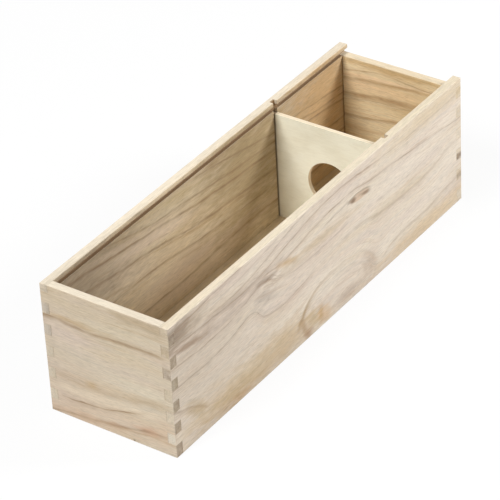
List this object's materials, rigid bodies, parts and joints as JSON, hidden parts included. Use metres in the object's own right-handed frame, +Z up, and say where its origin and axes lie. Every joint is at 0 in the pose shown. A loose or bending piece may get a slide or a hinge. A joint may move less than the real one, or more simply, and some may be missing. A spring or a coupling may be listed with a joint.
{
  "type": "wine box",
  "caption": "Open finger-jointed wooden box for one bottle lying down, with grooves for a sliding lid and a lift-out divider whose round hole holds the neck.",
  "frame": {"origin": "middle of the rectangle on which the box stands, at ground level", "axes": "+X across the width to the right side board, +Y along the length from the front board to the lower rear board, +Z up"},
  "size_m": [0.1, 0.348, 0.1],
  "materials": {
    "side_wood": "bare planed paulownia or pine, matt",
    "end_wood": "bare planed paulownia or pine, matt",
    "base_wood": "bare thin board, matt",
    "divider_plywood": "bare pale plywood, matt"
  },
  "bodies": {
    "box": {"left_side_panel": "side_wood", "right_side_panel": "side_wood", "front_panel": "end_wood", "rear_panel": "end_wood", "base_panel": "base_wood"},
    "divider": {"divider": "divider_plywood"}
  },
  "joints": [
    {"name": "divider_lift", "type": "slide", "parent": "box", "child": "divider", "axis": [0, 0, 1], "range_m": [0, 0.1]}
  ]
}
